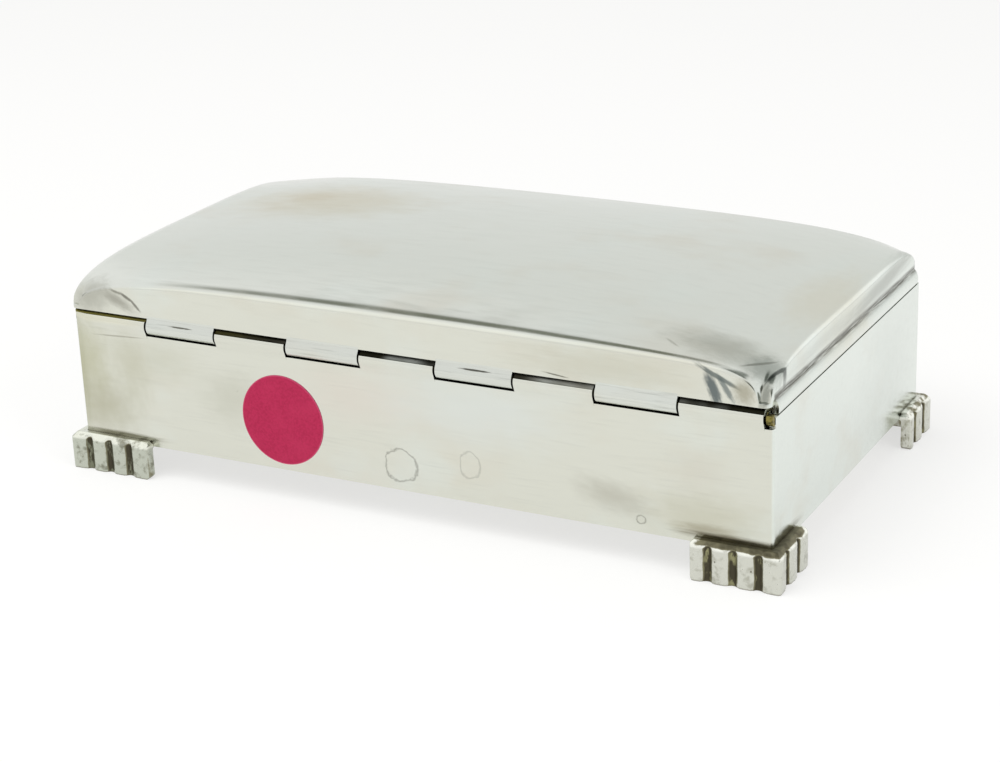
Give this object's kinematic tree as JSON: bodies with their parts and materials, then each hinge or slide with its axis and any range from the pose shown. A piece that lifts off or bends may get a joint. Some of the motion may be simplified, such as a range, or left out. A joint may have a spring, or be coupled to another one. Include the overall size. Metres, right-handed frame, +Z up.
{
  "type": "cigarette box",
  "caption": "Silver-plated table cigarette box with a cushion-domed hinged lid, a flush knuckle hinge, cast ribbed corner feet and a cedar-lined case in two compartments.",
  "frame": {"origin": "on the table surface under the middle of the box, at the height of the feet's undersides", "axes": "+X along the box towards its right end, +Y towards the hinge at the back, +Z up; the front is at -Y"},
  "size_m": [0.1652, 0.0922, 0.0493],
  "materials": {
    "silver_plate": "polished silver plate, softened by handling, with light tarnish",
    "cast_silver_plate": "cast and plated, satin, with dark tarnish in the flutes",
    "brass": "bare brass, dull and aged",
    "cedar": "planed cedar, unvarnished",
    "label_paper": "matt coloured paper"
  },
  "bodies": {
    "case": {"case_band": "silver_plate", "bottom_plate": "silver_plate", "case_hinge_bearer": "silver_plate", "body_knuckle_1": "silver_plate", "body_knuckle_2": "silver_plate", "body_knuckle_3": "silver_plate", "body_knuckle_4": "silver_plate", "body_knuckle_5": "silver_plate", "left_joint_filler": "brass", "right_joint_filler": "silver_plate", "hinge_pin": "brass", "rear_left_foot": "cast_silver_plate", "rear_right_foot": "cast_silver_plate", "front_left_foot": "cast_silver_plate", "front_right_foot": "cast_silver_plate", "cedar_floor": "cedar", "cedar_front_board": "cedar", "cedar_rear_board": "cedar", "cedar_left_board": "cedar", "cedar_right_board": "cedar", "cedar_divider": "cedar"},
    "lid": {"lid_shell": "silver_plate", "lid_base_band": "silver_plate", "lid_hinge_bearer": "silver_plate", "lid_knuckle_1": "silver_plate", "lid_knuckle_2": "silver_plate", "lid_knuckle_3": "silver_plate", "lid_knuckle_4": "silver_plate"}
  },
  "joints": [
    {"name": "lid_hinge", "type": "hinge", "parent": "case", "child": "lid", "pos_m": [0, 0.0423, 0.0344], "axis": [-1, 0, 0], "range_deg": [0, 105]}
  ]
}
